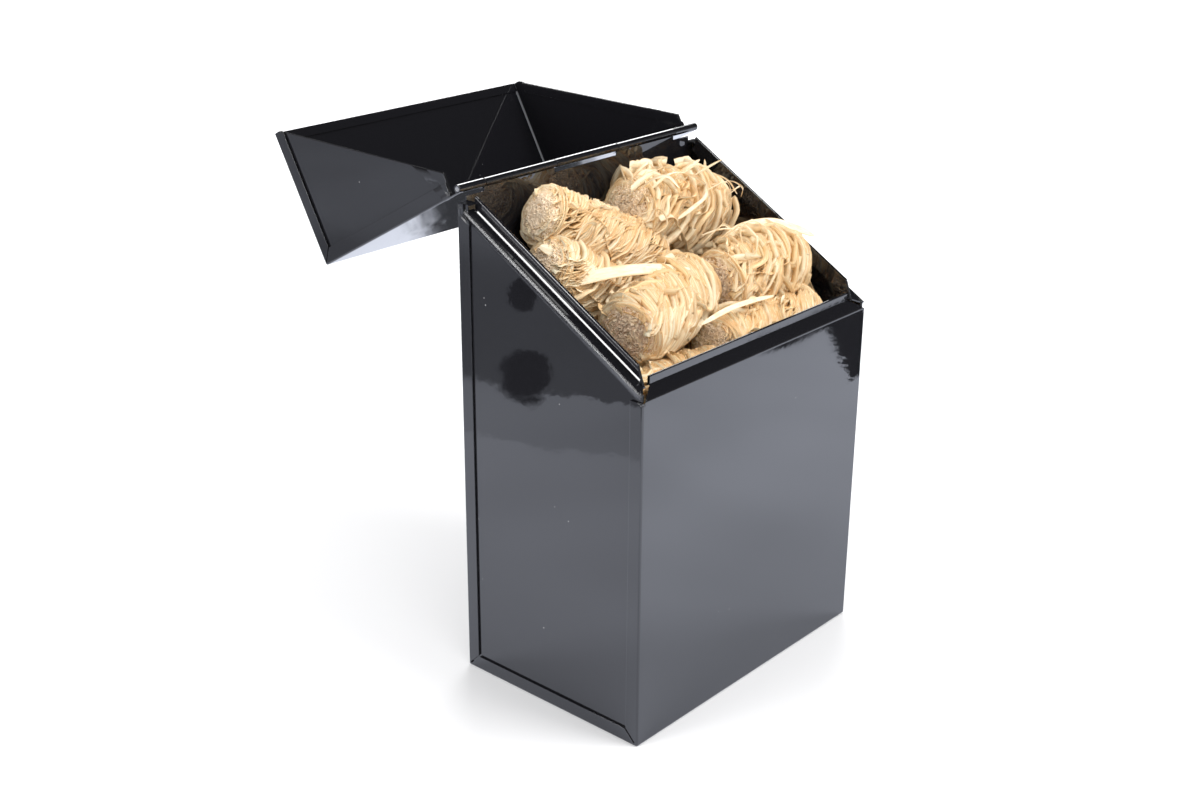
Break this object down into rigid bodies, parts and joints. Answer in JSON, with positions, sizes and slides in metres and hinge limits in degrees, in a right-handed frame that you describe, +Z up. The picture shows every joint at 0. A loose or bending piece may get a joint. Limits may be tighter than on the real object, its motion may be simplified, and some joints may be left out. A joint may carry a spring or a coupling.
{
  "type": "kindling box",
  "caption": "Tall black sheet-metal box with a slanted mouth and a hinged hood lid thrown back, filled with wood-wool firelighter rolls.",
  "frame": {"origin": "centre of the underside of the box's base", "axes": "+Z up, -Y out of the front panel, +X to the right as seen from the front; the lid is hinged along X at the back and is thrown back over +Y"},
  "size_m": [0.155, 0.2178, 0.2284],
  "materials": {
    "black_lacquer": "deep black stoved lacquer with a mirror gloss, a little dust",
    "rod_steel": "drawn steel wire with bright cut ends",
    "wood_wool": "dry pale wood shavings, waxed, with darker pressed ends"
  },
  "bodies": {
    "box": {"box_wrap": "black_lacquer", "box_end_left": "black_lacquer", "box_end_right": "black_lacquer", "hinge_rod": "rod_steel", "stored_roll_front_left_1": "wood_wool", "stored_roll_front_left_2": "wood_wool", "stored_roll_front_left_3": "wood_wool", "stored_roll_front_left_4": "wood_wool", "stored_roll_front_right_1": "wood_wool", "stored_roll_front_right_2": "wood_wool", "stored_roll_front_right_3": "wood_wool", "stored_roll_front_right_4": "wood_wool", "stored_roll_middle_left_1": "wood_wool", "stored_roll_middle_left_2": "wood_wool", "stored_roll_middle_left_3": "wood_wool", "stored_roll_middle_left_4": "wood_wool", "stored_roll_middle_left_5": "wood_wool", "stored_roll_middle_right_1": "wood_wool", "stored_roll_middle_right_2": "wood_wool", "stored_roll_middle_right_3": "wood_wool", "stored_roll_middle_right_4": "wood_wool", "stored_roll_middle_right_5": "wood_wool", "stored_roll_back_left_1": "wood_wool", "stored_roll_back_left_2": "wood_wool", "stored_roll_back_left_3": "wood_wool", "stored_roll_back_left_4": "wood_wool", "stored_roll_back_right_1": "wood_wool", "stored_roll_back_right_2": "wood_wool", "stored_roll_back_right_3": "wood_wool", "stored_roll_back_right_4": "wood_wool", "stored_roll_back_right_5": "wood_wool", "stored_roll_back_right_6": "wood_wool", "stored_roll_standing": "wood_wool", "roll_front_left": "wood_wool", "roll_front_right": "wood_wool", "roll_middle_left": "wood_wool", "roll_middle_right": "wood_wool", "roll_left": "wood_wool", "roll_back_right": "wood_wool", "roll_back_left": "wood_wool"},
    "lid": {"lid_wrap": "black_lacquer", "lid_end_left": "black_lacquer", "lid_end_right": "black_lacquer"}
  },
  "joints": [
    {"name": "lid_hinge", "type": "hinge", "parent": "box", "child": "lid", "pos_m": [0, 0.0499, 0.2227], "axis": [-1, 0, 0], "range_deg": [-209.5, 20]}
  ]
}
